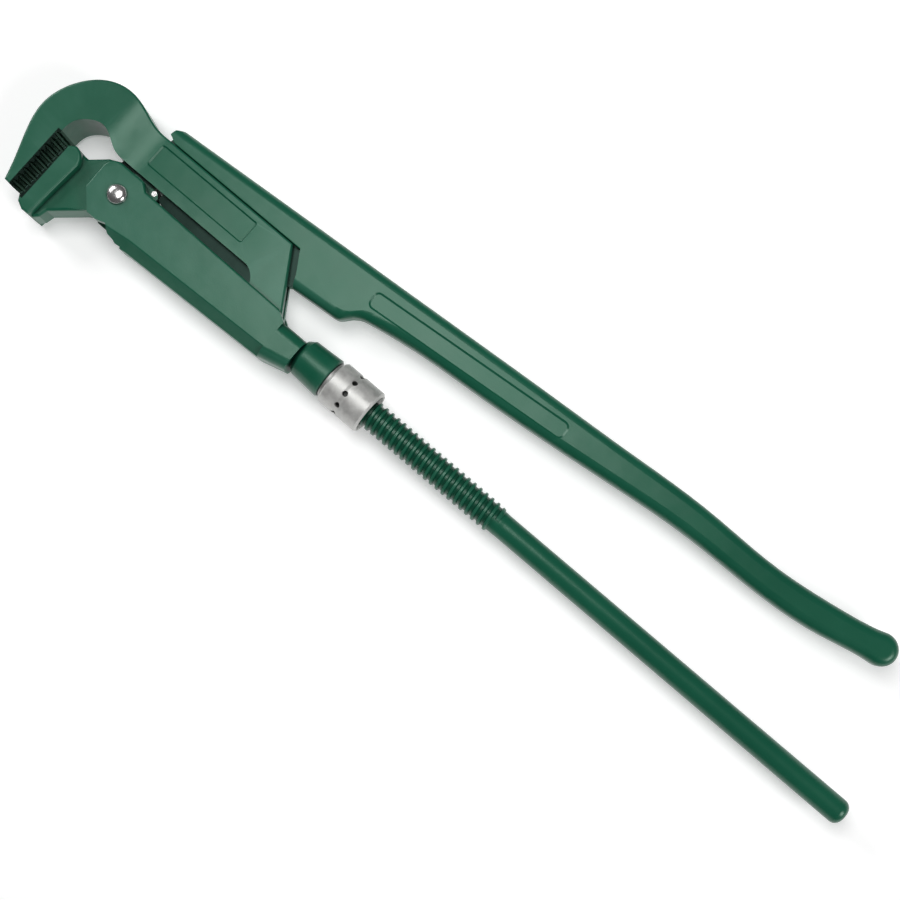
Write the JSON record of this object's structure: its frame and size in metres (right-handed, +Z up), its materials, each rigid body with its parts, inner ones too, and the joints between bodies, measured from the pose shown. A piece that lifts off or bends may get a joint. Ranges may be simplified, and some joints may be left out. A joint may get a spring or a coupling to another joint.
{
  "type": "pipe wrench",
  "caption": "Two-handled adjustable pipe wrench with a toothed hook jaw at right angles to the rod, a pivoted lower jaw, a threaded rod handle and an adjusting nut.",
  "frame": {"origin": "centre of the tool's outline seen from above, on the plane the tool lies on", "axes": "+X along the rod from the jaws to the handle ends, +Y from the rod to the upper handle, +Z up, along the jaw pivot"},
  "size_m": [0.5536, 0.1227, 0.0321],
  "materials": {
    "green_enamel": "semi-gloss enamel over forged steel",
    "bright_zinc": "bright plated, satin",
    "bare_rivet": "polished bare steel",
    "spring_steel": "blued and oiled"
  },
  "bodies": {
    "hook_and_rod": {"hook_jaw": "green_enamel", "threaded_rod": "green_enamel", "tang_pin": "spring_steel"},
    "sleeve": {"sleeve": "green_enamel", "pivot_rivet": "bare_rivet"},
    "lever": {"lever": "green_enamel", "leaf_spring": "spring_steel", "spring_pin": "bare_rivet"},
    "nut": {"adjusting_nut": "bright_zinc"}
  },
  "joints": [
    {"name": "sleeve_slide", "type": "slide", "parent": "hook_and_rod", "child": "sleeve", "axis": [1, 0, 0], "range_m": [0, 0.062]},
    {"name": "handle_swing", "type": "hinge", "parent": "sleeve", "child": "lever", "pos_m": [-0.2122, -0.0233, 0.01605], "axis": [0, 0, 1], "range_deg": [0, 4]},
    {"name": "nut_turn", "type": "hinge", "parent": "sleeve", "child": "nut", "pos_m": [-0.0514, -0.0241, 0.01605], "axis": [1, 0, 0], "range_deg": [0, 5580]}
  ],
  "couplings": [
    {"joint": "nut_turn", "follows": "sleeve_slide", "rad_per_m": 1570.8}
  ]
}
